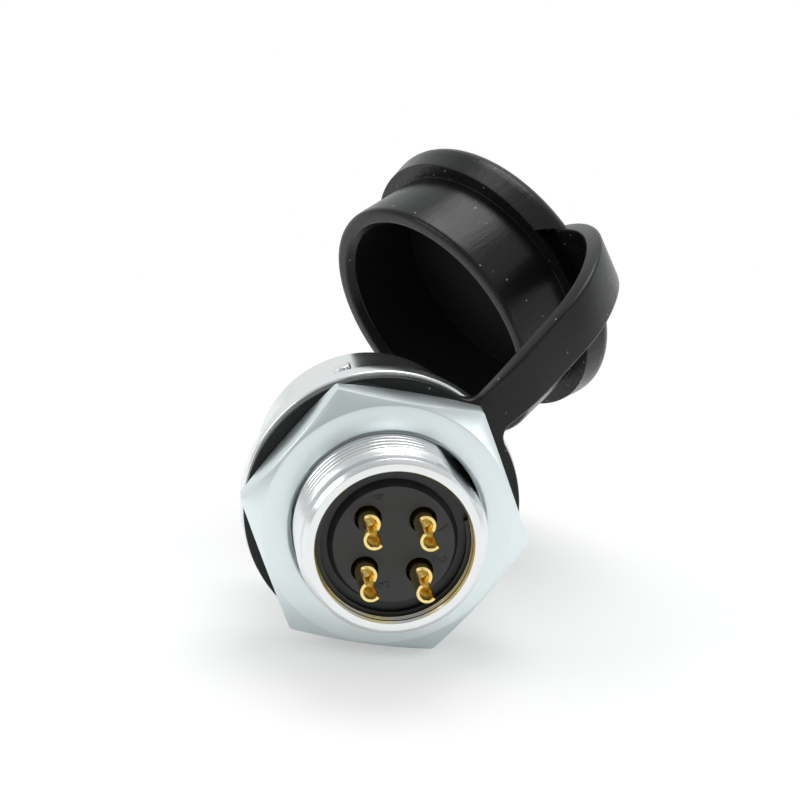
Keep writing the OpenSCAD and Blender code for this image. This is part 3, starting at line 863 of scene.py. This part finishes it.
dusty = node(tree, "Math", {"operation": "MULTIPLY"}, {0: speck.outputs[0], 1: sparse.outputs[0]})
colour = node(tree, "Mix", {"data_type": "RGBA"}, {
    0: dusty.outputs[0], 6: (0.0052, 0.0057, 0.0055, 1), 7: (0.32, 0.33, 0.32, 1)})
gloss = node(tree, "MapRange", inputs={
    "Value": cloud.outputs["Fac"], "From Min": 0.3, "From Max": 0.7, "To Min": 0.19, "To Max": 0.33})
along_axis = node(tree, "VectorMath", {"operation": "DOT_PRODUCT"}, {
    0: place.outputs["Object"], 1: cap_axis})
off_axis = node(tree, "VectorMath", {"operation": "SCALE"}, {
    0: cap_axis, "Scale": along_axis.outputs["Value"]})
drawn_out = node(tree, "VectorMath", {"operation": "MULTIPLY_ADD"}, {
    0: off_axis.outputs[0], 1: (-0.97, -0.97, -0.97), 2: place.outputs["Object"]})
streaks = node(tree, "TexNoise", inputs={
    "Vector": drawn_out.outputs[0], "Scale": 1300.0, "Detail": 3.0, "Roughness": 0.6})
relief = node(tree, "Math", {"operation": "MULTIPLY_ADD"}, {
    0: grain.outputs["Fac"], 1: 0.4, 2: streaks.outputs["Fac"]})
bump = node(tree, "Bump", inputs={"Height": relief.outputs[0], "Distance": 0.000036})
skin = node(tree, "BsdfPrincipled", inputs={
    "Base Color": colour.outputs[2], "Roughness": gloss.outputs[0], "Normal": bump.outputs[0],
    "Specular IOR Level": 0.29})
tree.links.new(skin.outputs[0], output.inputs["Surface"])

# Inside, the cap gets a darker, matter copy of the rubber: painted shade for the deep shade in its hollow
inside_rubber_painted_shade, tree, output = material("inside_rubber_painted_shade")
skin = node(tree, "BsdfPrincipled", inputs={
    "Base Color": (0.004, 0.004, 0.004, 1), "Roughness": 0.6, "Specular IOR Level": 0.2})
grain = node(tree, "TexNoise", inputs={
    "Vector": node(tree, "TexCoord").outputs["Object"], "Scale": 3000.0, "Detail": 4.0, "Roughness": 0.65})
bump = node(tree, "Bump", inputs={"Height": grain.outputs["Fac"], "Distance": 0.00001})
tree.links.new(bump.outputs[0], skin.inputs["Normal"])
tree.links.new(skin.outputs[0], output.inputs["Surface"])

# Both halves are rubber outside
for part, nodes in ((strap_low, ["strap_ring"]), (strap_high, ["strap", "dust_cap"])):
    part.data.materials.clear()
    part.data.materials.append(rubber)
    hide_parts(*nodes)
# Past a band at the mouth, the cap's inside takes the darker copy, which paints the shade there
strap_high.data.materials.append(inside_rubber_painted_shade)
for face in strap_high.data.polygons:
    offset = Vector(face.center) - cap_middle
    height = offset.dot(cap_axis)
    in_bore = (offset - cap_axis * height).length < cap_bore_r + 0.02 * MM
    if in_bore and cap_floor_t / 2 < height < cap_h - shade_free_mouth:
        face.material_index = 1

# Each half is baked into place; the ends of its flexing line are worked out but not used
upper_flex = strap_len - stretches[3][0]
for part, bodies, start, end in (
        (strap_low, ("receptacle", "strap_link"), -0.8 * MM, 3.2 * MM),
        (strap_high, ("strap_link", "cap"), upper_flex - 3.0 * MM, upper_flex + 4.0 * MM)):
    set_out(middle_line(start), 0, 0, 0)
    set_out(middle_line(end), 0, 0, 0)
    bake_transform(part)


# ---- Socket seal --------------------------------------------------------------------------------
# A flat rubber ring at the bottom of the socket, which the plug's nose presses on.

frame["nodes"]["socket_seal"].data.materials[0] = rubber
